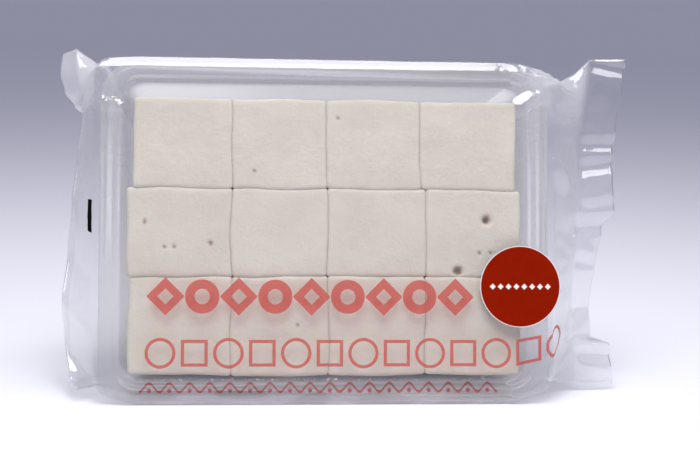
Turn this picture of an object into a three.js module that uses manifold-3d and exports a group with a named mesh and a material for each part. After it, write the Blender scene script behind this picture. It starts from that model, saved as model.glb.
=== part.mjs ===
// A sealed clear bag of marshmallows that stands on its long side.
//
// Inside the bag a drafted tray holds the sweets, face to the front. The film is a tube that is
// pulled tight round the tray from rim to base, and pressed flat into a heat seal at each end.
// The right seal stands out to the side and is crumpled. The left seal is folded back, so that
// only its upper corner shows past the bag. A finned seam runs down the back of the tube.
// The bag is clear, so it is one solid with all that it holds. A round sticker lies on its face.
//
// Sizes are in millimetres. The pack is laid out upright first: X runs along it to the right,
// Y goes from the front face to the back and Z goes up the face. Then the whole group leans back
// until the film between rim and base lies flat on the ground.

import * as THREE from "three";
import { mergeVertices } from "three/addons/utils/BufferGeometryUtils.js";
import Module from "manifold-3d";

const wasm = await Module();
wasm.setup();

// The tray, which gives the bag its form
const TRAY_LENGTH = 142;
const TRAY_HEIGHT = 107;
const TRAY_DEPTH = 34;
const RIM_OVERHANG = 7.5; // how far the rim reaches past the base, on all four sides
const CORNER_RADIUS = 12;
const FRONT_EDGE_RADIUS = 2.5;
const BACK_EDGE_RADIUS = 2.5;

// The film's two end seals, each a flat strip along the line where the tube is pressed shut.
// A station is a crease of that strip: its height, its line's reach sideways from the middle and
// depth behind the face, and its swing in degrees, 0 straight out to the side and 90 straight back.
// tuck is how far the film is drawn in at the tray's lower and upper corners, and sag is how far
// its upper edge sinks between the tray and the seal.
const SEAL_WIDTH = 12;
const SEAL_THICKNESS = 1.4;
const RIGHT_END = {
  side: 1,
  tuck: { lower: 3.5, upper: 2 },
  sag: 6,
  stations: [
    { height: 5.5, reach: 82, depth: 16, swing: -4 },
    { height: 18, reach: 81, depth: 11, swing: 0 },
    { height: 22, reach: 80.5, depth: 12, swing: 50 },
    { height: 34, reach: 80.7, depth: 18, swing: 40 },
    { height: 48, reach: 81.5, depth: 12, swing: 28 },
    { height: 58, reach: 82, depth: 17, swing: 22 },
    { height: 62, reach: 83.5, depth: 13, swing: -8 },
    { height: 70, reach: 82.5, depth: 10, swing: 16 },
    { height: 80, reach: 83.2, depth: 17, swing: 4 },
    { height: 90, reach: 84.2, depth: 11, swing: 6 },
    { height: 104, reach: 86.5, depth: 17, swing: 0 },
    { height: 111.5, reach: 87.5, depth: 13, swing: -6 },
  ],
};
const LEFT_END = {
  side: -1,
  tuck: { lower: 3, upper: 0.5 },
  sag: 0,
  stations: [
    { height: 5, reach: 76.5, depth: 3, swing: 74 },
    { height: 9, reach: 79, depth: 8, swing: 86 },
    { height: 20, reach: 81.2, depth: 14, swing: 92 },
    { height: 32, reach: 81.8, depth: 10, swing: 94 },
    { height: 47, reach: 80.8, depth: 16, swing: 94 },
    { height: 62, reach: 79.2, depth: 11, swing: 94 },
    { height: 78, reach: 78.2, depth: 16, swing: 94 },
    { height: 92, reach: 76.2, depth: 12, swing: 90 },
    { height: 99, reach: 77, depth: 9, swing: 57 },
    { height: 111.5, reach: 78.3, depth: 12, swing: 62 },
  ],
};

// The seam down the back
const SEAM_WIDTH = 9;
const SEAM_THICKNESS = 0.9;

// The sticker
const STICKER_DIAMETER = 25.4;
const STICKER_THICKNESS = 0.5;
const STICKER_GAP = 0.3;
const STICKER_X = 60.7;
const STICKER_Z = 37;

// How finely each side and corner of the film's section is divided, and the rings past the tray
const FACE_STEPS = 28;
const SIDE_STEPS = 6;
const ARC_STEPS = 4;
const SLEEVE_STEPS = 4;
const SEAL_STEPS = 2;

const LEAN = Math.atan2(RIM_OVERHANG, TRAY_DEPTH);
const REST_LENGTH = Math.hypot(RIM_OVERHANG, TRAY_DEPTH);
const radians = THREE.MathUtils.degToRad;
const { lerp, smoothstep } = THREE.MathUtils;

// The film's section round the tray as points in depth and height, from the middle of the
// underside forwards, up the face, back over the top and down behind. share is the way along
// one layer of the flattened tube, from its lower end at 0 to its upper end at 1.
function traySection() {
  const corners = [
    [0, 0, FRONT_EDGE_RADIUS],
    [0, TRAY_HEIGHT, FRONT_EDGE_RADIUS],
    [TRAY_DEPTH, TRAY_HEIGHT - RIM_OVERHANG, BACK_EDGE_RADIUS],
    [TRAY_DEPTH, RIM_OVERHANG, BACK_EDGE_RADIUS],
  ].map(([y, z, radius]) => ({ at: new THREE.Vector2(y, z), radius }));
  const steps = [FACE_STEPS, SIDE_STEPS, FACE_STEPS, SIDE_STEPS];
  const turned = corners.map(({ at, radius }, i) => {
    const to = (other) => corners[(other + 4) % 4].at.clone().sub(at).normalize();
    const half = Math.acos(to(i - 1).dot(to(i + 1))) / 2;
    const reach = radius / Math.tan(half);
    return {
      start: at.clone().addScaledVector(to(i - 1), reach),
      middle: at,
      end: at.clone().addScaledVector(to(i + 1), reach),
    };
  });
  const points = [];
  turned.forEach(({ start, middle, end }, i) => {
    const arc = new THREE.QuadraticBezierCurve(start, middle, end);
    const next = turned[(i + 1) % 4].start;
    points.push(...arc.getPoints(ARC_STEPS));
    for (let k = 1; k < steps[i]; k += 1) points.push(end.clone().lerp(next, k / steps[i]));
  });
  // The last side is the underside: turn the list so that it starts at that side's middle.
  const underside = SIDE_STEPS / 2;
  const ring = [...points.slice(-underside), ...points.slice(0, -underside)];
  return withShares(ring);
}

// Adds to each point of a section its layer, front or back, and its share of that layer's length.
function withShares(ring) {
  const count = ring.length;
  const top = count / 2;
  const along = [0];
  for (let i = 1; i <= count; i += 1) {
    along.push(along[i - 1] + ring[i % count].distanceTo(ring[i - 1]));
  }
  return ring.map((point, i) => {
    const front = i <= top;
    const share = front ? along[i] / along[top] : (along[count] - along[i]) / (along[count] - along[top]);
    const layer = i === 0 || i === top ? 0 : front ? -1 : 1;
    return { y: point.x, z: point.y, share, layer };
  });
}

// How far the rim's round corner stands back from the rim's end at a height.
function cornerInset(z) {
  const into = Math.max(CORNER_RADIUS - z, z - TRAY_HEIGHT + CORNER_RADIUS, 0);
  return CORNER_RADIUS - Math.sqrt(CORNER_RADIUS ** 2 - Math.min(into, CORNER_RADIUS) ** 2);
}

// The film over one end of the tray, as two rings: where the rim's corners start to turn, and at
// the rim's end. There the film spans the round corners, so it is drawn in a little at both.
// The tray is shorter at its base than at its rim.
function trayRings(section, { side, tuck }) {
  const middle = TRAY_HEIGHT / 2;
  const spanned = 0.25;
  const ringAt = (distance, drawnIn) =>
    section.map(({ y, z }) => {
      const x = side * (TRAY_LENGTH / 2 - distance(z) - (RIM_OVERHANG * y) / TRAY_DEPTH);
      const tucked = ((z - middle) / middle) * (z > middle ? tuck.upper : tuck.lower);
      return new THREE.Vector3(x, y, z - drawnIn * tucked);
    });
  return [ringAt(() => CORNER_RADIUS, 0), ringAt((z) => spanned * cornerInset(z), 1)];
}

// A seal's line and swing at a share of its height, straight between its stations.
function stationAt({ side, stations }, share) {
  const height = lerp(stations[0].height, stations.at(-1).height, share);
  const above = Math.max(stations.findIndex((station) => station.height >= height), 1);
  const [from, to] = [stations[above - 1], stations[above]];
  const part = (height - from.height) / (to.height - from.height);
  const between = (name) => lerp(from[name], to[name], part);
  return {
    point: new THREE.Vector3(side * between("reach"), between("depth"), height),
    angle: radians(between("swing")),
  };
}

// A ring of the flattened tube, out from the seal's line by a distance.
function sealRing(section, end, out) {
  const step = 0.01;
  return section.map(({ share, layer }) => {
    const { point, angle } = stationAt(end, share);
    const above = stationAt(end, Math.min(share + step, 1)).point;
    const below = stationAt(end, Math.max(share - step, 0)).point;
    const outward = new THREE.Vector3(end.side * Math.cos(angle), Math.sin(angle), 0);
    const back = above.sub(below).cross(outward).multiplyScalar(end.side).normalize();
    return point
      .addScaledVector(outward, out)
      .addScaledVector(back, (layer * SEAL_THICKNESS) / 2);
  });
}

// The rings of one end, from the tray outwards: the tray's corners, the sleeve, then the seal.
function endRings(section, end) {
  const [shoulder, start] = trayRings(section, end);
  const root = sealRing(section, end, 0);
  const rings = [shoulder];
  for (let k = 0; k < SLEEVE_STEPS; k += 1) {
    const part = k / SLEEVE_STEPS;
    const sink = end.sag * Math.sin(Math.PI * part);
    rings.push(
      section.map(({ share }, i) => {
        const point = start[i].clone().lerp(root[i], part);
        point.z -= sink * smoothstep(share, 0.8, 1);
        return point;
      }),
    );
  }
  for (let k = 0; k <= SEAL_STEPS; k += 1) {
    rings.push(sealRing(section, end, (SEAL_WIDTH * k) / SEAL_STEPS));
  }
  return rings;
}

// A closed geometry through rings of equal count, capped at both ends. The caps pair each
// ring's front points with its back points, as the end rings are flat strips.
function loft(rings) {
  const count = rings[0].length;
  const positions = rings.flat().flatMap((p) => [p.x, p.y, p.z]);
  const index = [];
  for (let r = 0; r + 1 < rings.length; r += 1) {
    for (let i = 0; i < count; i += 1) {
      const a = r * count + i;
      const b = r * count + ((i + 1) % count);
      index.push(a, a + count, b, b, a + count, b + count);
    }
  }
  const last = (rings.length - 1) * count;
  for (let i = 0; i < count / 2; i += 1) {
    const [a, b] = [i, i + 1];
    const [c, d] = [(count - i) % count, count - i - 1];
    if (c !== a) index.push(a, b, c, last + a, last + c, last + b);
    if (d !== b) index.push(b, d, c, last + b, last + c, last + d);
  }
  const geometry = new THREE.BufferGeometry();
  geometry.setAttribute("position", new THREE.Float32BufferAttribute(positions, 3));
  geometry.setIndex(index);
  return geometry;
}

// A closed geometry as a manifold-3d solid, and a solid as a geometry.
function solidOf(geometry) {
  const bare = geometry.clone();
  bare.deleteAttribute("normal");
  bare.deleteAttribute("uv");
  const merged = mergeVertices(bare, 1e-4);
  return new wasm.Manifold(
    new wasm.Mesh({
      numProp: 3,
      vertProperties: merged.attributes.position.array,
      triVerts: new Uint32Array(merged.index.array),
    }),
  );
}

function geometryOf(solid) {
  const { vertProperties, triVerts } = solid.getMesh();
  const geometry = new THREE.BufferGeometry();
  geometry.setAttribute("position", new THREE.BufferAttribute(vertProperties, 3));
  geometry.setIndex(new THREE.BufferAttribute(triVerts, 1));
  return geometry;
}

// The seam is a flat fin on the back, sunk a little into the tube so that the two join.
function seamGeometry() {
  const sunk = 0.6;
  const length = TRAY_LENGTH - 2 * RIM_OVERHANG - 2 * CORNER_RADIUS;
  const depth = SEAM_THICKNESS + sunk;
  const fin = new THREE.BoxGeometry(length, depth, SEAM_WIDTH, 1, 1, 1);
  const middle = TRAY_HEIGHT / 2 - SEAM_WIDTH / 2;
  return fin.translate(0, TRAY_DEPTH - sunk + depth / 2, middle);
}

function bagMesh() {
  const section = traySection();
  const rings = [...endRings(section, LEFT_END).reverse(), ...endRings(section, RIGHT_END)];
  const bag = solidOf(loft(rings)).add(solidOf(seamGeometry()));
  const material = new THREE.MeshStandardMaterial({ color: 0xe6e0da, roughness: 0.25, metalness: 0 });
  const mesh = new THREE.Mesh(geometryOf(bag), material);
  mesh.name = "bag";
  return mesh;
}

function stickerMesh() {
  const disc = new THREE.CylinderGeometry(
    STICKER_DIAMETER / 2,
    STICKER_DIAMETER / 2,
    STICKER_THICKNESS,
    64,
  );
  const material = new THREE.MeshStandardMaterial({ color: 0x8a1a04, roughness: 0.55, metalness: 0 });
  const mesh = new THREE.Mesh(disc, material);
  mesh.name = "sticker";
  mesh.position.set(STICKER_X, -STICKER_GAP - STICKER_THICKNESS / 2, STICKER_Z);
  return mesh;
}

// Upright, then leant back onto its underside, with the origin in the middle of that rest.
const upright = new THREE.Group();
upright.add(bagMesh(), stickerMesh());
upright.rotation.x = -LEAN;
upright.position.y = -REST_LENGTH / 2;

const pack = new THREE.Group();
pack.add(upright);

export default pack;
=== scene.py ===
# %% [markdown]
# # A sealed bag of marshmallows
#
# The object is a clear bag, pulled tight round a clear tray and pressed shut at both ends.
# In the tray lie twelve marshmallows, cut square. A printed pattern runs across the film, and a
# round sticker lies on it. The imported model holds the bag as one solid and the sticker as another.
# Here the solid becomes film, tray and sweets, each modelled as its own thin or soft piece.

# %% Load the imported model
import math
import random

import bmesh
import bpy
from mathutils import Matrix, Vector, noise


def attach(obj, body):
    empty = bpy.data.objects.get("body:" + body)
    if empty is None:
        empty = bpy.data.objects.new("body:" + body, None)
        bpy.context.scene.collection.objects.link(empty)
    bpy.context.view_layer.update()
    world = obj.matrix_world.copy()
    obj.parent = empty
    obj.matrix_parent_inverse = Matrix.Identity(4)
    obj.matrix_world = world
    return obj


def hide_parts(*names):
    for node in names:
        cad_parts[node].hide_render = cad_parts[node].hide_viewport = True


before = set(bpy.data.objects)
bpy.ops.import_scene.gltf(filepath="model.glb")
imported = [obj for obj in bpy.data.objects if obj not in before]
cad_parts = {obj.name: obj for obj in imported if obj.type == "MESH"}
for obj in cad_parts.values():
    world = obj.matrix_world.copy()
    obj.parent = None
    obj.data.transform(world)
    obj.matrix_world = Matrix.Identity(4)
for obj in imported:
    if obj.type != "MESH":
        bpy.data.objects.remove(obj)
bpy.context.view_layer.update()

# %% [markdown]
# ## The bag's own frame
#
# The bag leans back on its flat underside, so nothing in it is level. It could be modelled leaning,
# but upright is far easier: X along the tray, Y from the face to the back, Z up the face, all in
# millimetres, with the rim's lower edge at zero. One matrix then stands every piece in its place.

# %% Sizes and the lean
MM = 0.001
TRAY_LENGTH = 142.0
TRAY_HEIGHT = 107.0
TRAY_DEPTH = 34.0
RIM_OVERHANG = 7.5
CORNER_RADIUS = 12.0
LEAN = math.atan2(RIM_OVERHANG, TRAY_DEPTH)
REST_LENGTH = math.hypot(RIM_OVERHANG, TRAY_DEPTH)
STAND = (
    Matrix.Translation((0, -REST_LENGTH / 2 * MM, 0))
    @ Matrix.Rotation(-LEAN, 4, "X")
    @ Matrix.Scale(MM, 4)
)
print("lean, degrees:", round(math.degrees(LEAN), 2))


def lerp(a, b, part):
    """The value part of the way from a to b."""
    return a + (b - a) * part


def smoothstep(low, high, value):
    """Rises smoothly from 0 at low to 1 at high."""
    part = min(max((value - low) / (high - low), 0.0), 1.0)
    return part * part * (3 - 2 * part)


def smooth_object(name, bm, material):
    """A smooth object of a bmesh, with one material."""
    mesh = bpy.data.meshes.new(name)
    bm.to_mesh(mesh)
    bm.free()
    mesh.materials.append(material)
    for face in mesh.polygons:
        face.use_smooth = True
    made = bpy.data.objects.new(name, mesh)
    bpy.context.scene.collection.objects.link(made)
    return made


def finished(name, bm, material, replaced, levels=0):
    """Stands an upright bmesh in its place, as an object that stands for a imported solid."""
    bm.transform(STAND)
    piece = smooth_object(name, bm, material)
    if levels:
        smooth = piece.modifiers.new("smooth", "SUBSURF")
        smooth.levels = levels
        smooth.render_levels = levels
    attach(piece, "root")
    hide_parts(replaced)
    return piece


# %% [markdown]
# ## Materials from nodes
#
# Every finish here is made of shader nodes. Adding them one by one in long scripts is hard to read,
# so a small helper adds a node with its inputs in one call: a number goes into the socket itself,
# and another node's output is linked to it.

# %% A helper for node materials
class Finish:
    """A material under construction."""

    def __init__(self, name):
        self.material = bpy.data.materials.new(name)
        self.material.use_nodes = True
        self.tree = self.material.node_tree
        self.tree.nodes.clear()

    def add(self, kind, inputs=None, **settings):
        """Adds a shader node, sets its settings, and fills its inputs."""
        node = self.tree.nodes.new("ShaderNode" + kind)
        for name, value in settings.items():
            setattr(node, name, value)
        for name, value in (inputs or {}).items():
            if isinstance(value, bpy.types.NodeSocket):
                self.tree.links.new(value, node.inputs[name])
            else:
                node.inputs[name].default_value = value
        return node

    def math(self, operation, *values):
        """One step of arithmetic on numbers or sockets."""
        return self.add("Math", dict(enumerate(values)), operation=operation).outputs[0]

    def place(self):
        """The place on the piece, in millimetres."""
        coordinates = self.add("TexCoord").outputs["Object"]
        scale = {"Vector": coordinates, "Scale": 1 / MM}
        return self.add("VectorMath", scale, operation="SCALE").outputs[0]

    def sheet_place(self):
        """The place on the piece's flat map, across and up, in millimetres."""
        split = self.add("SeparateXYZ", {"Vector": self.add("UVMap", uv_map="sheet").outputs[0]})
        return split.outputs["X"], split.outputs["Y"]

    def noise(self, size, detail=3.0, rough=0.5, at=None):
        """Soft noise with patches of about the given size in millimetres."""
        inputs = {"Vector": at or self.place(), "Scale": 1 / size, "Detail": detail, "Roughness": rough}
        return self.add("TexNoise", inputs).outputs["Fac"]

    def ramp(self, fac, *stops):
        """A colour ramp through stops of (position, linear colour)."""
        node = self.add("ValToRGB", {"Fac": fac})
        while len(node.color_ramp.elements) < len(stops):
            node.color_ramp.elements.new(0.5)
        for element, (position, colour) in zip(node.color_ramp.elements, stops):
            element.position = position
            element.color = (*colour, 1)
        return node.outputs["Color"]

    def blend(self, part, colour, other):
        """A colour that turns into another, plain one by the part.

        The node keeps sockets for every kind of value: those for colours are 6 and 7, and 2 comes out.
        """
        inputs = {0: part, 6: colour, 7: (*other, 1)}
        return self.add("Mix", inputs, data_type="RGBA").outputs[2]

    def mix(self, part, shader, other):
        """A shader that turns into another one by the part."""
        return self.add("MixShader", {0: part, 1: shader, 2: other}).outputs[0]

    def bump(self, height, distance, normal=None):
        """A bump of the given height in millimetres."""
        inputs = {"Height": height, "Distance": distance * MM, "Strength": 1.0}
        if normal is not None:
            inputs["Normal"] = normal
        return self.add("Bump", inputs).outputs["Normal"]

    def surface(self, shader):
        """Closes the material with its surface shader."""
        self.add("OutputMaterial", {"Surface": shader})
        return self.material


# %% [markdown]
# ## The tray
#
# The tray is one sheet of clear plastic, drawn hot over a mould. Its rim is stepped for stiffness,
# its corners are round, and its walls lean in towards the base so that it leaves the mould.
# A box with a bevel would miss the steps. So the rim's outer edge is drawn first, as a rectangle
# with bevelled corners, and then extruded from level to level down to the base, as the mould does
# with the sheet. The sheet gets its thickness last.

# %% Tray rings
TRAY_WALL = 0.35
CORNER_STEPS = 10
RIM_WIDTH = 6.0
BASE_DEPTH = 33.0
# How much the corners' radius loses with each millimetre in from the rim's outer edge
ROUND_LOSS = 0.65
# Each level is its distance in from the rim's outer edge, and its depth behind the face
LEVELS = [
    (1.0, 1.9), (1.02, 1.4), (1.2, 1.0), (1.5, 0.9),
    (2.3, 0.88), (2.5, 0.8), (2.7, 0.5), (2.9, 0.4),
    (4.7, 0.4), (5.0, 0.5), (5.2, 0.8), (5.7, 2.2),
    (5.9, 2.6), (6.1, 2.8), (6.9, 2.9), (7.15, 3.0),
    (7.3, 3.4), (7.4, 4.5), (9.0, 29.0), (9.2, 31.0),
    (9.8, 32.4), (11.2, BASE_DEPTH), (13.0, BASE_DEPTH),
]


def corner_at(sides, inset):
    """The middle of a corner's round on the side that the signs name, and the round's radius."""
    radius = CORNER_RADIUS - ROUND_LOSS * min(inset, RIM_WIDTH)
    along = TRAY_LENGTH / 2 - inset - radius
    up = TRAY_HEIGHT / 2 - inset - radius
    return Vector((math.copysign(along, sides.x), math.copysign(up, sides.y), 0)), radius


def rim_edge(bm, inset):
    """The rim's outer edge as a flat ring: a rectangle with its corners bevelled round."""
    corners = bmesh.ops.create_grid(bm, x_segments=1, y_segments=1, size=0.5)["verts"]
    size = (TRAY_LENGTH - 2 * inset, TRAY_HEIGHT - 2 * inset, 1)
    bmesh.ops.scale(bm, vec=size, verts=corners)
    bmesh.ops.bevel(
        bm,
        geom=corners,
        offset=corner_at(corners[0].co, inset)[1],
        affect="VERTICES",
        segments=CORNER_STEPS,
        profile=0.5,
        material=-1,
    )
    bmesh.ops.delete(bm, geom=bm.faces[:], context="FACES_ONLY")
    return bm.edges[:]


def next_level(bm, edges, directions, inset, depth):
    """Draws the sheet's open edge on to the next level."""
    made = bmesh.ops.extrude_edge_only(bm, edges=edges)["geom"]
    verts = [item for item in made if isinstance(item, bmesh.types.BMVert)]
    newer = set(verts)
    for vert in verts:
        older = next(e.other_vert(vert) for e in vert.link_edges if e.other_vert(vert) not in newer)
        directions[vert] = directions[older]
        middle, radius = corner_at(directions[vert], inset)
        vert.co = middle + directions[vert] * radius + Vector((0, 0, -depth))
    around = dict.fromkeys(e for v in verts for e in v.link_edges)
    return [e for e in around if newer.issuperset(e.verts)]


def make_tray():
    """The tray's sheet through all its levels, closed at the base."""
    bm = bmesh.new()
    inset, depth = LEVELS[0]
    edges = rim_edge(bm, inset)
    directions = {}
    for vert in bm.verts:
        middle, radius = corner_at(vert.co, inset)
        directions[vert] = (vert.co - middle) / radius
        vert.co.z = -depth
    for inset, depth in LEVELS[1:]:
        edges = next_level(bm, edges, directions, inset, depth)
    bmesh.ops.edgeloop_fill(bm, edges=edges)
    upright = Matrix.Translation((0, 0, TRAY_HEIGHT / 2)) @ Matrix.Rotation(math.pi / 2, 4, "X")
    bmesh.ops.transform(bm, matrix=upright, verts=bm.verts[:])
    bmesh.ops.recalc_face_normals(bm, faces=bm.faces[:])
    bmesh.ops.solidify(bm, geom=bm.faces[:], thickness=TRAY_WALL)
    return bm


# %% [markdown]
# ## Clear plastic
#
# A thin clear sheet lets light through, mirrors more of it the further it is turned aside, and is a
# little milky where it was drawn or handled. A glass shader would bend the light, which so thin a
# wall hardly does. A transparent and a glossy shader, mixed by the angle, look truer and render fast.

# %% Tray finish
MILK_COLOUR = (0.95, 0.95, 0.96, 1)
TRAY_TINT = (0.94, 0.935, 0.925)
TRAY_GLOSS = 0.24
# How much more milky the tray's long walls look than its rim, as they are seen at a glance
WALL_MILK = 0.34


def clear_sheet(finish, normal, tint, gloss, haze, glance_mirror=0.85, face_mirror=0.08, glow_part=0.5):
    """A thin clear sheet: it lets light through, mirrors some of it, and is faintly milky."""
    facing = finish.add("LayerWeight", {"Blend": 0.5, "Normal": normal}).outputs["Facing"]
    glance = finish.math("POWER", facing, 4.0)
    mirror = finish.math("MULTIPLY_ADD", glance, glance_mirror, face_mirror)
    through = finish.add("BsdfTransparent", {"Color": (*tint, 1)}).outputs[0]
    shine = finish.add("BsdfGlossy", {"Color": (1, 1, 1, 1), "Roughness": gloss, "Normal": normal})
    clear = finish.mix(mirror, through, shine.outputs[0])
    lit = finish.add("BsdfDiffuse", {"Color": MILK_COLOUR, "Normal": normal}).outputs[0]
    glow = finish.add("BsdfTranslucent", {"Color": MILK_COLOUR, "Normal": normal}).outputs[0]
    milk = finish.mix(glow_part, lit, glow)
    return finish.mix(haze, clear, milk)


def tray_finish():
    """Clear plastic, with the slow waves that drawing leaves in it, frosted on its long walls."""
    finish = Finish("clear_tray")
    waves = finish.bump(finish.noise(9, 2), 0.25)
    normal = finish.add("TexCoord").outputs["Normal"]
    upward = finish.math("ABSOLUTE", finish.add("SeparateXYZ", {"Vector": normal}).outputs["Z"])
    inputs = {"Value": upward, "From Min": 0.5, "From Max": 0.85}
    wall = finish.add("MapRange", inputs, interpolation_type="SMOOTHSTEP").outputs[0]
    glow_part = finish.math("MULTIPLY_ADD", wall, 0.6, 0.35)
    haze = finish.math("MULTIPLY_ADD", finish.noise(25, 3), 0.06, 0.14)
    haze = finish.math("MULTIPLY_ADD", wall, WALL_MILK, haze)
    sheet = clear_sheet(finish, waves, TRAY_TINT, TRAY_GLOSS, haze, 0.13, 0.035, glow_part)
    return finish.surface(sheet)


tray = finished("tray", make_tray(), tray_finish(), "bag")
print("tray faces:", len(tray.data.polygons))

# %% [markdown]
# ## The marshmallows
#
# Each sweet is a block of soft foam, cut with a knife from a slab, so its edges are crisp but not
# sharp and no two are quite alike. A plain cube would look like plastic. A finely cut cube has its
# corners pressed round, its faces pushed about by slow noise, and its pits pressed in where they lie.
# Neighbours share the noise on the sides where they touch, as soft blocks in a tight tray do.

# %% Where each sweet lies
FACE_DEPTH = 3.0
SWEET_DEPTH = 28.0
SWEET_CELLS = 34
EDGE_ROUND = 1.2
# How uneven a cut side is, in slow waves and in fine ones, and how close each kind's waves lie
UNEVEN = 0.7
FINE_UNEVEN = 0.12
SLOW_WAVES = 0.06
FINE_WAVES = 0.35
# How far each side is pressed into its neighbour
PRESSED = 0.15
# The tray's walls lean in, so the sweets narrow by this share towards the back
NARROWING = 0.012
# Each row holds its lower and upper edge, then the left and right edge of each sweet in it
ROWS = {
    "top": (67.1, 95.3, [(-59.6, -29.4), (-29.4, 0.3), (0.3, 30.0), (30.0, 60.0)]),
    "middle": (39.6, 67.2, [(-61.6, -29.4), (-29.4, 0.5), (0.5, 31.4), (31.4, 61.6)]),
    "bottom": (9.3, 39.7, [(-61.0, -29.6), (-29.6, 0.9), (0.9, 31.1), (31.1, 61.4)]),
}
# Pits in the face of a sweet: across and up from its lower left corner, radius and depth
PITS = {
    "middle_4": [
        (19.2, 18.2, 1.35, 2.2),
        (10.3, 2.2, 1.5, 1.6),
        (17.0, 7.9, 0.6, 0.9),
        (20.6, 8.0, 0.55, 0.8),
    ],
    "middle_1": [
        (5.2, 17.2, 0.6, 0.5),
        (11.3, 9.4, 0.55, 0.5),
        (14.3, 9.6, 0.55, 0.4),
        (25.6, 10.6, 0.75, 0.8),
    ],
    "top_3": [(3.6, 22.4, 0.6, 0.5)],
    "top_2": [(7.0, 5.5, 0.55, 0.4)],
    "bottom_2": [(21.0, 16.0, 0.55, 0.5)],
}
# A pit is flat out to one share of its radius and ends at another
PIT_FLOOR = 0.6
PIT_RIM = 1.2
# Only the face's points, within this depth, are pressed in
FACE_LAYER = 2.0
# Where in the noise each sweet's face is read, and the sides that neighbours share, across and up
SEED_SHIFT = (13.7, 5.1, 9.3)
ACROSS_SHIFT = Vector((21.7, 3.9, 8.3))
UP_SHIFT = Vector((4.6, 17.2, 12.8))


def unevenness(point, shift):
    """How far slow and fine noise move a cut side at a point."""
    slow = noise.noise(point * SLOW_WAVES + shift) * UNEVEN
    return slow + noise.noise(point * FINE_WAVES + shift) * FINE_UNEVEN


def sweet_point(point, half, centre, seed):
    """A point of a block's surface in its place: round edges, then a slow unevenness.

    Neighbours share the sideways part, so that they stay pressed together; the faces differ.
    """
    core = half - Vector((EDGE_ROUND,) * 3)
    inner = Vector([min(max(point[i], -core[i]), core[i]) for i in range(3)])
    out = point - inner
    if out.length > 1e-6:
        point = inner + out.normalized() * EDGE_ROUND
    placed = point + centre
    own = unevenness(point, Vector([seed * shift for shift in SEED_SHIFT]))
    kept = 1 - NARROWING * (placed.y - FACE_DEPTH) / SWEET_DEPTH
    up = lerp(TRAY_HEIGHT / 2, placed.z, kept)
    across = placed.x * kept + unevenness(placed, ACROSS_SHIFT)
    return Vector((across, placed.y + own, up + unevenness(placed, UP_SHIFT)))


def make_sweet(name, left, right, low, high, seed):
    """One block of marshmallow between its edges."""
    bm = bmesh.new()
    bmesh.ops.create_cube(bm, size=1)
    bmesh.ops.subdivide_edges(bm, edges=bm.edges[:], cuts=SWEET_CELLS, use_grid_fill=True)
    half = Vector((right - left + 2 * PRESSED, SWEET_DEPTH, high - low + 2 * PRESSED)) / 2
    centre = Vector(((left + right) / 2, FACE_DEPTH + half.y, (low + high) / 2))
    for vert in bm.verts:
        whole = Vector([vert.co[i] * 2 * half[i] for i in range(3)])
        vert.co = sweet_point(whole, half, centre, seed)
    # Each point keeps how far it lies in a pit, for the painted shade in the pits
    ink_stain_and_pit_shade = bm.verts.layers.float.new("pit")
    for across, up, radius, depth in PITS.get(name, []):
        for vert in bm.verts:
            if vert.co.y < FACE_DEPTH + FACE_LAYER:
                away = math.hypot(vert.co.x - left - across, vert.co.z - low - up)
                into = 1 - smoothstep(PIT_FLOOR * radius, PIT_RIM * radius, away)
                vert.co.y += depth * into
                vert[ink_stain_and_pit_shade] = max(vert[ink_stain_and_pit_shade], into)
    return bm


def foam_finish():
    """Matt foam, fine-pored, dusted with starch, with painted shade, dark and brown, in its pits."""
    finish = Finish("marshmallow_foam")
    place = finish.place()
    patches = finish.noise(14, 4, 0.6, place)
    clean = finish.ramp(patches, (0.3, (0.70, 0.645, 0.53)), (0.7, (0.75, 0.70, 0.60)))
    pit = finish.add("Attribute", attribute_name="pit").outputs["Fac"]
    # Painted shade: the pits are painted dark brown, on top of the real shade of their depth
    colour = finish.blend(pit, clean, (0.30, 0.19, 0.14))
    pores = finish.add("TexVoronoi", {"Vector": place, "Scale": 1 / 0.9}).outputs["Distance"]
    skin = finish.bump(finish.noise(1.1, 6, 0.65, place), 0.25)
    skin = finish.bump(finish.math("MINIMUM", pores, 0.35), 0.12, normal=skin)
    shader = finish.add(
        "BsdfPrincipled",
        {
            "Base Color": colour,
            "Roughness": 0.85,
            "Normal": skin,
            "Subsurface Weight": 0.25,
            "Subsurface Radius": (1.0, 0.8, 0.6),
            "Subsurface Scale": 0.003,
            "Specular IOR Level": 0.2,
        },
    )
    return finish.surface(shader.outputs[0])


foam = foam_finish()
seed = 0
for row, (low, high, spans) in ROWS.items():
    for number, (left, right) in enumerate(spans, 1):
        seed += 1
        name = f"{row}_{number}"
        block = make_sweet(name, left, right, low, high, seed)
        finished(f"marshmallow_{name}", block, foam, "bag", levels=1)
print("marshmallows:", seed)

# %% [markdown]
# ## Crumbs
#
# Crumbs and starch have gathered along the tray's lower wall, in front of the sweets. They are tiny
# and many, so they are few-sided balls, squashed and scattered from a fixed seed, in one mesh.

# %% Crumbs
CRUMB_COUNT = 120
CRUMB_REACH = 60.0
CRUMB_DEPTHS = (3.8, 7.5)
CRUMB_SIZES = (0.14, 0.42)
# A few crumbs are coarser
COARSE_SHARE = 0.1
COARSE_SIZE = 1.8


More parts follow.
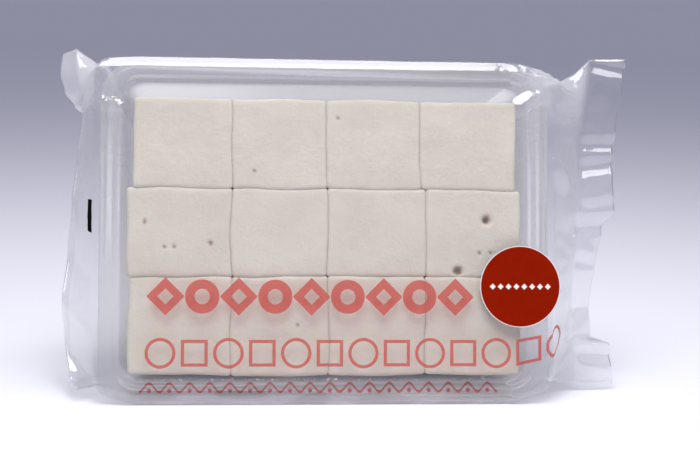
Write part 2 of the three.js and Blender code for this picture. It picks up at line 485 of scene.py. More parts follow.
def make_crumbs():
    """Crumbs strewn along the lower wall."""
    draw = random.Random(7)
    bm = bmesh.new()
    for _ in range(CRUMB_COUNT):
        x = draw.uniform(-CRUMB_REACH, CRUMB_REACH)
        y = draw.uniform(*CRUMB_DEPTHS)
        size = draw.uniform(*CRUMB_SIZES) * (COARSE_SIZE if draw.random() < COARSE_SHARE else 1)
        # The tray's lower wall, on which they lie, rises a little towards the back
        z = lerp(7.7, 8.0, (y - 4.5) / 5) + size * 0.6
        turn = Matrix.Rotation(draw.uniform(0, math.pi), 4, "Z")
        squash = Matrix.Diagonal((draw.uniform(0.7, 1.3), 1, draw.uniform(0.6, 1), 1))
        place = Matrix.Translation((x, y, z)) @ turn @ squash
        bmesh.ops.create_icosphere(bm, subdivisions=1, radius=size, matrix=place)
    return bm


def crumb_finish():
    """Pale starchy crumbs."""
    finish = Finish("crumb")
    colour = finish.ramp(finish.noise(2), (0.35, (0.72, 0.62, 0.52)), (0.65, (0.92, 0.88, 0.82)))
    shader = finish.add("BsdfPrincipled", {"Base Color": colour, "Roughness": 0.8})
    return finish.surface(shader.outputs[0])


finished("crumbs", make_crumbs(), crumb_finish(), "bag")
print("crumbs:", CRUMB_COUNT)

# %% [markdown]
# ## The film's shape
#
# The film is a tube, tight round the tray and flat where its two layers are sealed together.
# It could be draped by simulation, but real film keeps sharp folds where it was pressed, and those
# are known. So rings of points run from seal to seal: round the tray, drawn in past its corners,
# and into a flat strip whose creases are given by stations, from the lowest up.

# %% Film sections
# The film slants from the rim's ridge to its lower outer edge
RIM_EDGE_HEIGHT = 3.4
RIM_EDGE_DEPTH = 1.7
BACK_EDGE_RADIUS = 2.5
# The film is drawn up a little over the rim's upper edge
RIM_LIFT = 1.3
FACET_STEPS = 4
FACE_STEPS = 96
SIDE_STEPS = 24
ARC_STEPS = 8
BACK_ARC_STEPS = 2 * ARC_STEPS + FACET_STEPS
BODY_STEPS = 64
CORNER_RINGS = 12
SLEEVE_STEPS = 18
SEAL_STEPS = 12
SEAL_WIDTH = 12.0
SEAL_GAP = 0.16
# How far the film follows the rim's round corners, and from which share of its height it sags
CORNER_FOLLOW = 0.25
SAG_FROM = 0.8
# A station is a crease of the seal: its height, its line's reach sideways, its depth behind the
# face, and its swing in degrees, 0 straight out to the side and 90 straight back
RIGHT_END = {
    "side": 1,
    "softness": 0.5,
    "tuck": (3.5, 2.0),
    "sag": 3.2,
    "stations": [
        (5.5, 83, 15, 6),
        (18.5, 82, 13, 10),
        (21, 81, 13.5, 46),
        (34, 81.2, 15, 46),
        (48, 82, 13.5, 38),
        (58, 82.6, 15, 26),
        (62, 84, 13.6, 6),
        (70, 83, 13.2, 5),
        (80, 83.2, 13.6, 6),
        (90, 84.2, 13.4, 5),
        (104, 86.5, 14, 0),
        (111.5, 87.5, 14, -4),
    ],
}
LEFT_END = {
    "side": -1,
    "softness": 1.0,
    "tuck": (3.0, 0.5),
    "sag": 0.0,
    "stations": [
        (5, 76.5, 3, 74),
        (9, 79, 8, 86),
        (20, 81.2, 14, 92),
        (32, 81.8, 10, 94),
        (47, 80.8, 16, 94),
        (62, 79.2, 11, 94),
        (78, 78.2, 16, 94),
        (91.5, 76.2, 12, 90),
        (94.5, 76.5, 10.5, 74),
        (99, 77, 9.5, 61),
        (105, 77.7, 10.5, 57),
        (111.5, 78.3, 12, 62),
    ],
}


def tray_section():
    """The film round the tray: depth, height, layer and share of the layer's length."""
    edge = RIM_EDGE_HEIGHT
    back = RIM_EDGE_DEPTH
    slope = RIM_OVERHANG / TRAY_DEPTH
    # Each corner is its depth and height, its radius, the steps round it and the steps after it.
    # The back corners have as many steps as a facet and both its corners, so that the front and
    # the back of the ring have the same number of points, which meet in pairs at the seals
    corners = [
        (0, edge, 1.0, ARC_STEPS, FACE_STEPS),
        (0, TRAY_HEIGHT - edge + RIM_LIFT * 0.8, 1.0, ARC_STEPS, FACET_STEPS),
        (back, TRAY_HEIGHT - back * slope + RIM_LIFT, 0.7, ARC_STEPS, SIDE_STEPS),
        (TRAY_DEPTH, TRAY_HEIGHT - RIM_OVERHANG, BACK_EDGE_RADIUS, BACK_ARC_STEPS, FACE_STEPS),
        (TRAY_DEPTH, RIM_OVERHANG, BACK_EDGE_RADIUS, BACK_ARC_STEPS, SIDE_STEPS),
        (back, back * slope, 0.7, ARC_STEPS, FACET_STEPS),
    ]
    places = [Vector(corner[:2]) for corner in corners]
    turned = []
    for i, (_, _, radius, _, _) in enumerate(corners):
        at = places[i]
        before = (places[i - 1] - at).normalized()
        after = (places[(i + 1) % len(places)] - at).normalized()
        reach = radius / math.tan(before.angle(after) / 2)
        turned.append((at + before * reach, at, at + after * reach))
    ring = []
    for i, (_, _, _, arc_steps, side_steps) in enumerate(corners):
        start, middle, end = turned[i]
        for k in range(arc_steps + 1):
            part = k / arc_steps
            ring.append(start.lerp(middle, part).lerp(middle.lerp(end, part), part))
        after = turned[(i + 1) % len(corners)][0]
        ring += [end.lerp(after, k / side_steps) for k in range(1, side_steps)]
    # The ring starts at the middle of the underside
    start = SIDE_STEPS // 2 + ARC_STEPS + FACET_STEPS
    ring = ring[-start:] + ring[:-start]
    return with_shares(ring)


def with_shares(ring):
    """Adds each point's layer, -1 front and 1 back, and its share of that layer's length."""
    count = len(ring)
    top = count // 2
    along = [0.0]
    for i in range(1, count + 1):
        along.append(along[-1] + (ring[i % count] - ring[i - 1]).length)
    section = []
    for i, point in enumerate(ring):
        front = i <= top
        share = along[i] / along[top] if front else (along[count] - along[i]) / (along[count] - along[top])
        layer = 0 if i in (0, top) else (-1 if front else 1)
        section.append((point.x, point.y, layer, share))
    return section


def corner_inset(z):
    """How far the rim's round corner stands back from the rim's end at a height."""
    into = min(max(CORNER_RADIUS - z, z - TRAY_HEIGHT + CORNER_RADIUS, 0), CORNER_RADIUS)
    return CORNER_RADIUS - math.sqrt(CORNER_RADIUS**2 - into**2)


def tray_ring(section, end, distance, drawn_in):
    """The film over the tray, in from the rim's end by a distance that depends on height."""
    middle = TRAY_HEIGHT / 2
    lower, upper = end["tuck"]
    ring = []
    for y, z, _, _ in section:
        x = end["side"] * (TRAY_LENGTH / 2 - distance(z) - RIM_OVERHANG * y / TRAY_DEPTH)
        tucked = (z - middle) / middle * (upper if z > middle else lower)
        ring.append(Vector((x, y, z - drawn_in * tucked)))
    return ring


def station_at(end, share):
    """The seal's line and swing at a share of its height, softly from station to station."""
    stations = end["stations"]
    height = lerp(stations[0][0], stations[-1][0], share)
    above = next((i for i, s in enumerate(stations) if s[0] >= height and i), len(stations) - 1)
    low, high = stations[above - 1], stations[above]
    part = (height - low[0]) / (high[0] - low[0])
    part = lerp(part, smoothstep(0, 1, part), end["softness"])
    reach, depth, swing = (lerp(low[i], high[i], part) for i in (1, 2, 3))
    return Vector((end["side"] * reach, depth, height)), math.radians(swing)


def seal_ring(section, end, out, gap):
    """The flattened tube, out from the seal's line by a distance, its layers a gap apart."""
    step = 0.01
    ring = []
    for j, (_, _, layer, _) in enumerate(section):
        share = section[min(j, len(section) - j)][3] if j else 0
        point, angle = station_at(end, share)
        above = station_at(end, min(share + step, 1))[0]
        below = station_at(end, max(share - step, 0))[0]
        outward = Vector((end["side"] * math.cos(angle), math.sin(angle), 0))
        back = (above - below).cross(outward) * end["side"]
        ring.append(point + outward * out + back.normalized() * (layer * gap / 2))
    return ring


def end_rings(section, end):
    """One end's rings from the tray outwards."""
    shoulder = tray_ring(section, end, lambda z: CORNER_RADIUS, 0)
    start = tray_ring(section, end, lambda z: CORNER_FOLLOW * corner_inset(z), 1)
    root = seal_ring(section, end, 0, SEAL_GAP)
    rings = []
    for k in range(CORNER_RINGS):
        part = k / CORNER_RINGS
        rings.append([a.lerp(b, part) for a, b in zip(shoulder, start)])
    for k in range(SLEEVE_STEPS):
        part = k / SLEEVE_STEPS
        sink = end["sag"] * math.sin(math.pi * part)
        ring = []
        for a, b, (_, _, _, share) in zip(start, root, section):
            drop = sink * smoothstep(SAG_FROM, 1, share)
            ring.append(a.lerp(b, part) - Vector((0, 0, drop)))
        rings.append(ring)
    for k in range(SEAL_STEPS + 1):
        out = SEAL_WIDTH * k / SEAL_STEPS
        rings.append(seal_ring(section, end, out, SEAL_GAP if k < SEAL_STEPS else 0))
    return rings


section = tray_section()
print("film section:", len(section), "points")

# %% [markdown]
# ## Creases
#
# Film that is squeezed doesn't ripple like cloth: it stays smooth over wide stretches and breaks
# along a few sharp ridges. So the net of points is moved twice along its normals: by slow noise,
# whose folded value gives ridges where the film is loose, and by the few listed creases, each a
# line with a width and a steepness. The stiff seal on the right has folds instead: it steps back
# in a straight slope and then returns slowly, as a strip does that was bent over.

# %% Moves of the film's net
# How far noise moves loose film on the left and on the right, film drawn tight, and the seals
LOOSE_NOISE = (0.55, 1.3)
TIGHT_NOISE = 0.12
SEAL_NOISE = 0.5
# How close the waves of each noise lie
COARSE_RIDGES = 0.11
FINE_RIDGES = 0.3
TIGHT_WAVES = 0.07
SEAL_WAVES = 0.16
# The height about which ridges rise and sink, and the fine ridges' height beside the coarse ones
RIDGE_LEVEL = 0.2
FINE_SHARE = 0.35
# The lower this is, the sooner the film past a seal is loose
LOOSE_RISE = 0.7
# The film lies flat under the sticker and for a short way round it
STICKER_RADIUS = 12.7
STICKER_AT = (60.7, 37.0)
STICKER_EASE = 3
CREASE_SPREAD = 1.5
# Each crease is its steepness and its points: across, up and half width
CREASES = [
    (0.6, [
        (-72.0, 95.8, 0.5), (-70.2, 94.6, 0.9), (-68.7, 92.8, 1.2), (-66.8, 91.6, 1.0), (-64.7, 91.6, 0.3),
    ]),
    (0.6, [(-67.5, 95.3, 0.4), (-66.0, 93.8, 0.9), (-63.5, 91.6, 1.2), (-60.5, 90.4, 0.3)]),
    (0.6, [(-68.8, 106.7, 0.8), (-71.8, 102.0, 1.6), (-74.5, 94.8, 1.4), (-75.4, 91.7, 0.3)]),
    (0.6, [(57.6, 90.7, 0.3), (60.5, 93.3, 2.2), (64.3, 95.9, 2.0), (67.5, 97.4, 1.0), (71.7, 101.1, 1.0)]),
    (0.6, [(71.7, 101.1, 1.0), (74.6, 101.8, 1.3), (78.8, 102.2, 0.5)]),
    (0.6, [(67.9, 106.8, 0.6), (69.8, 106.2, 1.0), (71.1, 104.3, 1.2), (72.0, 101.1, 0.8)]),
    (0.6, [(59.6, 106.8, 0.5), (60.3, 104.3, 0.9), (61.5, 103.0, 0.3)]),
    (0.6, [(60.9, 107.1, 0.5), (63.5, 105.6, 0.9), (65.7, 104.4, 0.3)]),
    (0.6, [(68.3, 105.3, 0.5), (67.6, 102.2, 1.1), (67.3, 98.0, 0.4)]),
    (0.6, [(70.2, 103.8, 0.5), (69.2, 100.6, 0.9), (67.8, 98.0, 0.4)]),
    (0.8, [(69.8, 77.9, 0.5), (73.5, 74.5, 2.4), (76.0, 70.0, 2.2), (76.5, 66.0, 0.5)]),
    (0.7, [(68.0, 17.1, 0.4), (69.3, 12.4, 1.6), (67.7, 7.7, 2.2), (61.3, 3.0, 1.2), (58.1, 0.6, 0.4)]),
    (0.7, [(77.9, 21.8, 0.4), (79.5, 27.2, 1.2), (80.2, 29.7, 0.3)]),
]
# Each fold of the right seal is its lower and upper edge, how far it steps back, and its slant
FOLDS = [
    (106.2, 109.6, 1.9, -0.15),
    (80.4, 82.9, 1.4, 0.0),
    (72.6, 76.0, 1.9, 0.2),
    (60.4, 62.2, 1.0, 0.05),
    (53.6, 56.4, 1.5, 0.15),
    (42.5, 44.5, 0.9, -0.1),
    (27.0, 30.0, 1.2, 0.1),
    (12.0, 15.0, 1.2, -0.1),
]
FOLD_FADE = 5.0
SEAL_MIDDLE = 89.0


def film_net():
    """The points of the whole film, ring by ring from the left seal to the right one."""
    left = end_rings(section, LEFT_END)[::-1]
    right = end_rings(section, RIGHT_END)
    body = []
    for k in range(1, BODY_STEPS):
        body.append([a.lerp(b, k / BODY_STEPS) for a, b in zip(left[-1], right[0])])
    return left + body + right


def net_normal(net, i, j):
    """The outward normal of the net at a point."""
    around = net[i][(j + 1) % len(section)] - net[i][j - 1]
    along = net[min(i + 1, len(net) - 1)][j] - net[max(i - 1, 0)][j]
    return along.cross(around).normalized()


def crease_height(point):
    """How far the creases lift the film's face at a point."""
    flat = Vector((point.x, point.z))
    lifted = 0
    for steepness, line in CREASES:
        highest = 0
        for a, b in zip(line, line[1:]):
            start, end = Vector(a[:2]), Vector(b[:2])
            part = min(max((flat - start).dot(end - start) / (end - start).length_squared, 0), 1)
            away = (flat - start.lerp(end, part)).length
            highest = max(highest, lerp(a[2], b[2], part) * CREASE_SPREAD - away)
        lifted += steepness * highest
    return lifted


def fold_depth(point):
    """How far the right seal's folds step back at a point: a straight rise, then a slow return."""
    depth = 0
    for low, high, back, slant in FOLDS:
        height = point.z - slant * (point.x - SEAL_MIDDLE)
        rise = min(max((height - low) / (high - low), 0), 1)
        depth += back * rise * (1 - smoothstep(high, high + FOLD_FADE, height))
    return depth


def folded_noise(point, closeness):
    """Noise whose folded value has sharp ridges."""
    return abs(noise.noise(point * closeness)) - RIDGE_LEVEL


def moved(net, i, j):
    """A point of the net after the noise and the creases."""
    point = net[i][j]
    from_end = min(i, len(net) - 1 - i)
    sealed = from_end <= SEAL_STEPS
    layer = section[j][2]
    into_sleeve = min(max((from_end - SEAL_STEPS) / SLEEVE_STEPS, 0), 1)
    loose = math.sin(math.pi * into_sleeve) ** LOOSE_RISE if into_sleeve < 1 else 0
    ridge = folded_noise(point, COARSE_RIDGES) + FINE_SHARE * folded_noise(point, FINE_RIDGES)
    calm = noise.noise(point * TIGHT_WAVES)
    normal = net_normal(net, i, j)
    if sealed:
        slow = noise.noise(Vector((point.x, 0, point.z)) * SEAL_WAVES) * SEAL_NOISE
        if point.x > 0:
            slow += fold_depth(point)
        return point + Vector((0, slow * smoothstep(SEAL_STEPS + 1, SEAL_STEPS - 2, from_end), 0))
    crumple = LOOSE_NOISE[1 if point.x > 0 else 0]
    lift = crumple * loose * ridge + TIGHT_NOISE * calm * (1 - loose)
    if layer < 0:
        lift += crease_height(point)
        from_sticker = math.hypot(point.x - STICKER_AT[0], point.z - STICKER_AT[1])
        lift *= smoothstep(STICKER_RADIUS, STICKER_RADIUS + STICKER_EASE, from_sticker)
    placed = point + normal * lift
    placed.z = max(placed.z, placed.y * RIM_OVERHANG / TRAY_DEPTH)
    return placed


net = film_net()
net = [[moved(net, i, j) for j in range(len(section))] for i in range(len(net))]
print("film net:", len(net), "rings of", len(section), "points")


# %% Film mesh
# On the film's flat map the back lies this far below the front
BACK_MAP_SHIFT = 20.0
# How milky the worked film is: right sleeve and its drawn-up top, left sleeve, and the seal's ear, whose
# extra milk is partly painted sheen in place of a reflection
RIGHT_MILK = 0.12
RIGHT_TOP_MILK = 0.30
LEFT_MILK = 0.17
EAR_MILK_AND_SHEEN = 0.42
# Over which heights the right film's top and the left film turn milky, and where the ear starts
DRAWN_UP = (86, 96)
LEFT_RISE = (35, 75)
EAR_RISE = (91, 99)
# Over how many rings the milkiness fades into the tight film, along the side and at the top right
SIDE_FADE = 4
TOP_FADE = 9


def film_lengths():
    """How far along the film each point lies from the tray's middle, by its own column."""
    middle = len(net) // 2
    columns = []
    for j in range(len(section)):
        line = [net[middle][j].x] * len(net)
        for i in range(middle + 1, len(net)):
            line[i] = line[i - 1] + (net[i][j] - net[i - 1][j]).length
        for i in range(middle - 1, -1, -1):
            line[i] = line[i + 1] - (net[i][j] - net[i + 1][j]).length
        columns.append(line)
    return columns


def milkiness(i, point):
    """How milky the film is at a point: worked film at the ends is duller than film drawn tight, and the
    left ear's extra milk is painted sheen.
    """
    from_end = min(i, len(net) - 1 - i)
    rings = SEAL_STEPS + SLEEVE_STEPS
    worked = smoothstep(rings, rings - SIDE_FADE, from_end)
    if point.x > 0:
        drawn_up = smoothstep(*DRAWN_UP, point.z)
        worked = max(worked, drawn_up * smoothstep(rings + TOP_FADE, rings, from_end))
        outer = smoothstep(SEAL_STEPS - 1, SEAL_STEPS + 2, from_end)
        return worked * lerp(RIGHT_MILK, RIGHT_TOP_MILK, drawn_up) * outer
    upper = smoothstep(*LEFT_RISE, point.z)
    ear = smoothstep(*EAR_RISE, point.z)
    # On the ear the milk is partly real and partly painted sheen, standing in for a reflection
    return worked * lerp(LEFT_MILK * lerp(0.1, 1, upper), EAR_MILK_AND_SHEEN, ear)


def make_film():
    """The film as one closed tube, with a map of its flat sheet in millimetres."""
    count = len(section)
    lengths = film_lengths()
    bm = bmesh.new()
    bmesh.ops.create_grid(bm, x_segments=len(net) - 1, y_segments=count, size=0.5)
    knots = {}
    milk = bm.verts.layers.float.new("milk")
    for vert in bm.verts:
        i = round((vert.co.x + 0.5) * (len(net) - 1))
        j = round((vert.co.y + 0.5) * count) % count
        knots[vert] = (i, j)
        vert.co = net[i][j]
        vert[milk] = milkiness(i, vert.co)
    sheet = bm.loops.layers.uv.new("sheet")
    for face in bm.faces:
        in_front = max(knots[vert][1] for vert in face.verts) <= count // 2
        for loop in face.loops:
            i, j = knots[loop.vert]
            height = section[j][1]
            loop[sheet].uv = (lengths[j][i], height if in_front else -BACK_MAP_SHIFT - height)
    bmesh.ops.remove_doubles(bm, verts=bm.verts[:], dist=0.005)
    bmesh.ops.recalc_face_normals(bm, faces=bm.faces[:])
    return bm


# %% [markdown]
# ## The print
#
# The print is salmon-red ink on the clear film: a bold row, a light row and a fine row. Ink lies on
# the film, so it has to bend with it: the pattern is worked out on the film's flat map, in
# millimetres. Each row is a strip of equal cells, and each cell holds one plain figure, given by
# its distance from the figure's outline, so that its edge stays crisp at any size.

# %% Rows of the print
# The width over which ink fades at its edge
INK_EDGE = 0.12
BOLD_ROW = {"low": 27.8, "high": 39.5, "left": -55.1, "right": 45.8, "cells": 9}
LIGHT_ROW = {"low": 11.6, "high": 21.0, "left": -56.2, "right": 79.1, "cells": 13}
FINE_ROW = {"low": 3.4, "high": 8.2, "left": -57.3, "right": 53.3, "cells": 18}
MARK = {"left": -75.5, "right": -73.1, "low": 52.3, "high": 63.0}
# How far every second figure stays in from the row's edge, so that it looks as big as the others
SECOND_INSET = 0.6
WAVE_SWING = 1.3
# Half the wave line's width, and the way to a sloping line as a share of the way straight up to it
WAVE_STROKE = 0.3
WAVE_SLOPE = 0.7
DOT_DROP = 0.9
DOT_RADIUS = 0.65


def row_cell(finish, u, v, row):
    """In a row: across and up from the cell's middle, its half size, odd or even, and inside the row."""
    pitch = (row["right"] - row["left"]) / row["cells"]
    cell = finish.math("DIVIDE", finish.math("SUBTRACT", u, row["left"]), pitch)
    part = finish.math("SUBTRACT", finish.math("FRACT", cell), 0.5)
    across = finish.math("MULTIPLY", part, pitch)
    up = finish.math("SUBTRACT", v, (row["low"] + row["high"]) / 2)
    odd = finish.math("MODULO", finish.math("FLOOR", cell), 2.0)
    inside = finish.math("COMPARE", cell, row["cells"] / 2, row["cells"] / 2)
    return across, up, odd, inside


def ink(finish, distance):
    """1 inside a figure, 0 outside, from the distance to its outline."""
    part = finish.math("DIVIDE", distance, -INK_EDGE)
    return finish.add("Clamp", {"Value": finish.math("ADD", part, 0.5)}).outputs[0]


def outline(finish, distance, stroke):
    """The distance to a stroke of a width just inside an outline."""
    middle = finish.math("ABSOLUTE", finish.math("ADD", distance, stroke / 2))
    return finish.math("SUBTRACT", middle, stroke / 2)


def round_distance(finish, across, up, radius):
    """The distance to a circle."""
    square = finish.math("ADD", finish.math("MULTIPLY", across, across), finish.math("MULTIPLY", up, up))
    return finish.math("SUBTRACT", finish.math("SQRT", square), radius)


def diamond_distance(finish, across, up, radius):
    """The distance to a diamond."""
    spread = finish.math("ADD", finish.math("ABSOLUTE", across), finish.math("ABSOLUTE", up))
    return finish.math("MULTIPLY", finish.math("SUBTRACT", spread, radius), math.sqrt(0.5))


def square_distance(finish, across, up, half):
    """The distance to a square."""
    spread = finish.math("MAXIMUM", finish.math("ABSOLUTE", across), finish.math("ABSOLUTE", up))
    return finish.math("SUBTRACT", spread, half)


# Two figures stand by turns in a row: each is its distance and the width of its stroke
BOLD_FIGURES = ((diamond_distance, 2.4), (round_distance, 2.9))
LIGHT_FIGURES = ((round_distance, 1.0), (square_distance, 1.0))


def figure_row(finish, u, v, row, figures):
    """A row of two outlined figures by turns."""
    half = (row["high"] - row["low"]) / 2
    across, up, odd, inside = row_cell(finish, u, v, row)
    distances = []
    for (distance, stroke), radius in zip(figures, (half, half - SECOND_INSET)):
        distances.append(outline(finish, distance(finish, across, up, radius), stroke))
    change = finish.math("MULTIPLY", finish.math("SUBTRACT", distances[1], distances[0]), odd)
    return finish.math("MULTIPLY", ink(finish, finish.math("ADD", distances[0], change)), inside)


def fine_row(finish, u, v):
    """A thin wave with a dot in each of its hollows."""
    across, up, _, inside = row_cell(finish, u, v, FINE_ROW)
    pitch = (FINE_ROW["right"] - FINE_ROW["left"]) / FINE_ROW["cells"]
    swing = finish.math("COSINE", finish.math("MULTIPLY", across, math.tau / pitch))
    wave = finish.math("SUBTRACT", up, finish.math("MULTIPLY", swing, WAVE_SWING))
    away = finish.math("MULTIPLY", finish.math("ABSOLUTE", wave), WAVE_SLOPE)
    line = finish.math("SUBTRACT", away, WAVE_STROKE)
    dot = round_distance(finish, across, finish.math("ADD", up, DOT_DROP), DOT_RADIUS)
    return finish.math("MULTIPLY", ink(finish, finish.math("MINIMUM", line, dot)), inside)


def mark_mask(finish, u, v):
    """The black registration mark."""
    masks = []
    for place, low, high in ((u, "left", "right"), (v, "low", "high")):
        middle, half = (MARK[low] + MARK[high]) / 2, (MARK[high] - MARK[low]) / 2
        masks.append(finish.math("COMPARE", place, middle, half))
    return finish.math("MULTIPLY", *masks)


print("figures in the three rows:", [row["cells"] for row in (BOLD_ROW, LIGHT_ROW, FINE_ROW)])

# %% Film finish
FILM_TINT = (0.97, 0.97, 0.975)
FILM_GLOSS = 0.06
INK_BODY = (0.60, 0.105, 0.085, 1)
INK_STAIN = (0.85, 0.27, 0.24, 1)
# How far ink lets the things behind show through, and how much further in the fine row
INK_CLEAR = 0.45
FINE_CLEAR = 0.45
INK_SHEEN = 0.05
INK_COVER = 0.92


def film_finish():
    """Clear glossy film with fine wrinkles, and the printed pattern on its face."""
    finish = Finish("clear_film")
    wrinkles = finish.bump(finish.noise(7, 3, 0.55), 0.12)
    haze = finish.math("MULTIPLY_ADD", finish.noise(12, 4, 0.6), 0.05, 0.015)
    haze = finish.math("ADD", haze, finish.add("Attribute", attribute_name="milk").outputs["Fac"])
    clear = clear_sheet(finish, wrinkles, FILM_TINT, FILM_GLOSS, haze)
    u, v = finish.sheet_place()
    bold = figure_row(finish, u, v, BOLD_ROW, BOLD_FIGURES)
    light = figure_row(finish, u, v, LIGHT_ROW, LIGHT_FIGURES)
    fine = fine_row(finish, u, v)
    printed = finish.math("MAXIMUM", finish.math("MAXIMUM", bold, light), fine)
    body = finish.add("BsdfDiffuse", {"Color": INK_BODY, "Normal": wrinkles}).outputs[0]
    ink_stain_and_pit_shade = finish.add("BsdfTransparent", {"Color": INK_STAIN}).outputs[0]
    gloss = finish.add("BsdfGlossy", {"Color": (1, 1, 1, 1), "Roughness": 0.12, "Normal": wrinkles})
    seen_through = finish.math("MULTIPLY_ADD", fine, FINE_CLEAR, INK_CLEAR)
    colour = finish.mix(seen_through, body, ink_stain_and_pit_shade)
    colour = finish.mix(INK_SHEEN, colour, gloss.outputs[0])
    coverage = finish.math("MULTIPLY", printed, INK_COVER)
    shader = finish.mix(coverage, clear, colour)
    black = finish.add("BsdfDiffuse", {"Color": (0.006, 0.006, 0.006, 1)}).outputs[0]
    shader = finish.mix(mark_mask(finish, u, v), shader, black)
    return finish.surface(shader)


clear_film = film_finish()
film = finished("film", make_film(), clear_film, "bag")
print("film faces:", len(film.data.polygons))

# %% [markdown]
# ## The seam down the back
#
# The flat sheet becomes a tube where its two edges are sealed together, in a fin that is folded flat
# on the back. It could be cut out of the film's own net, but it is a separate strip to the eye, so
# it is a strip of its own: a narrow grid, meeting the film at its upper edge, a little wavy.

# %% Back seam
SEAM_WIDTH = 9.0
SEAM_ENDS_IN = 19.5
SEAM_LIFT = 0.35
SEAM_FILM = 0.12
SEAM_MILK = 0.04
SEAM_OFF = 0.1
SEAM_SWING = 0.3
SEAM_WAVES = 0.12
# The fin leaves the back within this share of its width
SEAM_ROOT = 0.35


def lay_flat(bm, place):
    """Writes a piece's flat map, from a function of each point's place."""
    sheet = bm.loops.layers.uv.new("sheet")
    for face in bm.faces:
        for loop in face.loops:
            loop[sheet].uv = place(loop.vert.co)


def make_seam():
    """The folded fin, which stands off the back a little more towards its free edge."""
    bm = bmesh.new()
    bmesh.ops.create_grid(bm, x_segments=140, y_segments=12, size=0.5)
    reach = TRAY_LENGTH - 2 * SEAM_ENDS_IN
    for vert in bm.verts:
        x = vert.co.x * reach
        down = 0.5 - vert.co.y
        wave = SEAM_SWING * noise.noise(Vector((x * SEAM_WAVES, down, 4.0)))
        depth = TRAY_DEPTH + SEAM_OFF + (SEAM_LIFT + wave) * smoothstep(0, SEAM_ROOT, down)
        vert.co = Vector((x, depth, TRAY_HEIGHT / 2 - SEAM_WIDTH * down))
    lay_flat(bm, lambda co: (co.x, -BACK_MAP_SHIFT - co.z))
    milk = bm.verts.layers.float.new("milk")
    for vert in bm.verts:
        vert[milk] = SEAM_MILK
    bmesh.ops.recalc_face_normals(bm, faces=bm.faces[:])
    bmesh.ops.solidify(bm, geom=bm.faces[:], thickness=SEAM_FILM)
    return bm


seam = finished("back_seam", make_seam(), clear_film, "bag")
print("seam faces:", len(seam.data.polygons))

# %% [markdown]
# ## The sticker
#
# A disc of coated paper, die-cut, so its edge shows a hair of white. It could be a flat disc, but it
# is stuck to film, so it is bent a little by slow noise of its own. A row of small white diamonds
# stands where such stickers have their writing.

# %% Sticker
STICKER_PAPER = 0.12
STICKER_FRONT = -0.35
STICKER_ROW = {"low": -1, "high": 1, "left": -10.0, "right": 10.0, "cells": 8}
DIAMOND_RADIUS = 0.95
# The rings of faces that let the disc bend, from the rim inwards
STICKER_RINGS = (0.18, 2.5, 3.5, 3.5)
STICKER_UNEVEN = 0.12
STICKER_WAVES = 0.08
RIM_ANGLE = math.radians(40)
# How wide the bare edge of the paper shows
BARE_EDGE = 0.22


def make_sticker():
    """A disc of paper, bent a little by slow noise, with a sharp rim."""
    bm = bmesh.new()
    bmesh.ops.create_circle(bm, cap_ends=True, radius=STICKER_RADIUS, segments=96)
    for inset in STICKER_RINGS:
        middle = max(bm.faces, key=lambda f: len(f.verts))
        bmesh.ops.inset_region(bm, faces=[middle], thickness=inset)
    bmesh.ops.solidify(bm, geom=bm.faces[:], thickness=STICKER_PAPER)
    place = Matrix.Translation((STICKER_AT[0], STICKER_FRONT, STICKER_AT[1]))
    bmesh.ops.transform(bm, matrix=place @ Matrix.Rotation(math.pi / 2, 4, "X"), verts=bm.verts[:])
    lay_flat(bm, lambda co: (co.x - STICKER_AT[0], co.z - STICKER_AT[1]))
    for vert in bm.verts:
        vert.co.y += STICKER_UNEVEN * noise.noise(vert.co * STICKER_WAVES)
    for edge in bm.edges:
        if edge.calc_face_angle() > RIM_ANGLE:
            edge.smooth = False
    return bm


def sticker_finish():
    """Dark red coated paper with a bare white edge and a row of small white diamonds."""
    finish = Finish("sticker_paper")
    u, v = finish.sheet_place()
    red = finish.ramp(finish.noise(6), (0.3, (0.245, 0.0085, 0.0002)), (0.7, (0.265, 0.0095, 0.0004)))
    across, up, _, inside = row_cell(finish, u, v, STICKER_ROW)
    diamond = ink(finish, diamond_distance(finish, across, up, DIAMOND_RADIUS))
    figures = finish.math("MULTIPLY", diamond, inside)
    printed = ink(finish, round_distance(finish, u, v, STICKER_RADIUS - BARE_EDGE))
    rim = finish.math("SUBTRACT", 1.0, printed)
    bare = finish.math("MAXIMUM", figures, rim)
    colour = finish.blend(bare, red, (0.86, 0.80, 0.76))
    fibres = finish.bump(finish.noise(0.6, 4), 0.02)
    inputs = {"Base Color": colour, "Roughness": 0.6, "Normal": fibres, "Specular IOR Level": 0.02}
    return finish.surface(finish.add("BsdfPrincipled", inputs).outputs[0])


disc = finished("sticker_disc", make_sticker(), sticker_finish(), "sticker")
print("sticker faces:", len(disc.data.polygons))

# %% [markdown]
# ## Floor, light and camera
#
# Clear film is only seen by what it mirrors, so the light matters more than usual. One broad soft
# light hangs above and a little in front, and is mirrored in the facets that look up at it. A small
# one, high on the right, is mirrored in facets that are turned aside. The rest is a plain pale room,
# whose floor curves up far off, so that no edge shows behind the bag.

# %% Floor
FLOOR_RADIUS = 2.6
COVE_RADIUS = 1.4
COVE_STEPS = 16
FLOOR_COLOUR = (0.83, 0.83, 0.87, 1)


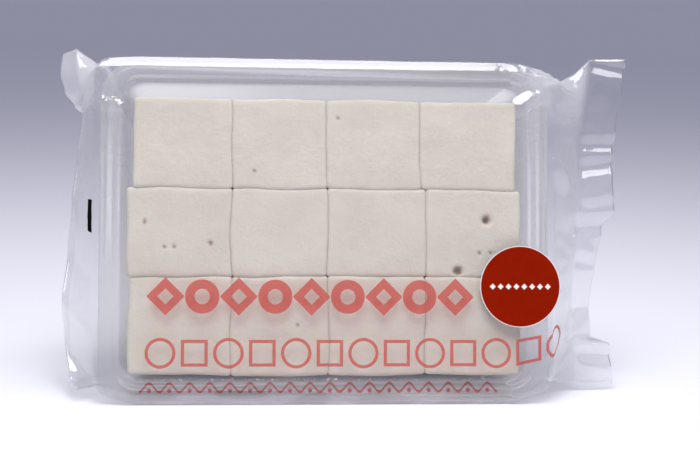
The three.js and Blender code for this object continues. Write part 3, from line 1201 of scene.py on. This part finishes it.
def make_floor():
    """A broad pale floor just under the bag, curving up into a low wall all round, far off."""
    bm = bmesh.new()
    profile = [bm.verts.new((0, 0, 0)), bm.verts.new((FLOOR_RADIUS, 0, 0))]
    for k in range(1, COVE_STEPS + 1):
        angle = math.pi / 2 * k / COVE_STEPS
        out = FLOOR_RADIUS + COVE_RADIUS * math.sin(angle)
        profile.append(bm.verts.new((out, 0, COVE_RADIUS * (1 - math.cos(angle)))))
    edges = [bm.edges.new(pair) for pair in zip(profile, profile[1:])]
    bmesh.ops.spin(
        bm, geom=profile + edges, axis=(0, 0, 1), cent=(0, 0, 0), angle=math.tau, steps=96, use_merge=True
    )
    bmesh.ops.remove_doubles(bm, verts=bm.verts[:], dist=1e-5)
    bmesh.ops.recalc_face_normals(bm, faces=bm.faces[:])
    finish = Finish("floor")
    paper = finish.surface(finish.add("BsdfDiffuse", {"Color": FLOOR_COLOUR}).outputs[0])
    return smooth_object("floor", bm, paper)


make_floor()
print("floor and cove, m across:", 2 * (FLOOR_RADIUS + COVE_RADIUS))


# %% Light
def soft_light(name, place, aim, size, power):
    """A square soft light that looks at a point."""
    data = bpy.data.lights.new(name, "AREA")
    data.size = size
    data.energy = power
    light = bpy.data.objects.new(name, data)
    light.location = place
    light.rotation_mode = "QUATERNION"
    light.rotation_quaternion = (Vector(aim) - Vector(place)).to_track_quat("-Z", "Y")
    bpy.context.scene.collection.objects.link(light)
    print(name, "light:", power, "watts")


soft_light("key", (-0.05, -0.2, 0.62), (0, 0, 0.05), 0.42, 4.1)
soft_light("side", (0.34, -0.1, 0.6), (0.09, 0, 0.05), 0.24, 0.55)
ROOM_COLOUR = (0.33, 0.33, 0.42, 1)
world = bpy.data.worlds.new("room")
world.use_nodes = True
background = world.node_tree.nodes["Background"]
background.inputs["Color"].default_value = ROOM_COLOUR
background.inputs["Strength"].default_value = 1.0
bpy.context.scene.world = world
bpy.context.scene.view_settings.view_transform = "Standard"

# %% Camera
CAMERA_DISTANCE = 0.42
CAMERA_YAW = math.radians(-4.99)
CAMERA_RISE = math.radians(9.85)
CAMERA_ROLL = math.radians(1.25)
CAMERA_LENS = 69.8
CAMERA_SHIFT = (0.033, 0.0132)
AIM = STAND @ Vector((0, 0, 53))


def make_camera():
    """The camera, a little to the left and above, looking at the middle of the face."""
    back = Vector((
        math.sin(CAMERA_YAW) * math.cos(CAMERA_RISE),
        -math.cos(CAMERA_YAW) * math.cos(CAMERA_RISE),
        math.sin(CAMERA_RISE),
    ))
    data = bpy.data.cameras.new("camera")
    data.lens = CAMERA_LENS
    data.sensor_width = 36
    data.shift_x, data.shift_y = CAMERA_SHIFT
    data.clip_start = 0.01
    camera = bpy.data.objects.new("camera", data)
    camera.location = AIM + back * CAMERA_DISTANCE
    camera.rotation_mode = "QUATERNION"
    level = (-back).to_track_quat("-Z", "Y")
    camera.rotation_quaternion = level @ Matrix.Rotation(CAMERA_ROLL, 4, "Z").to_quaternion()
    bpy.context.scene.collection.objects.link(camera)
    bpy.context.scene.camera = camera
    return camera


camera = make_camera()
print("camera, m:", [round(value, 3) for value in camera.location])
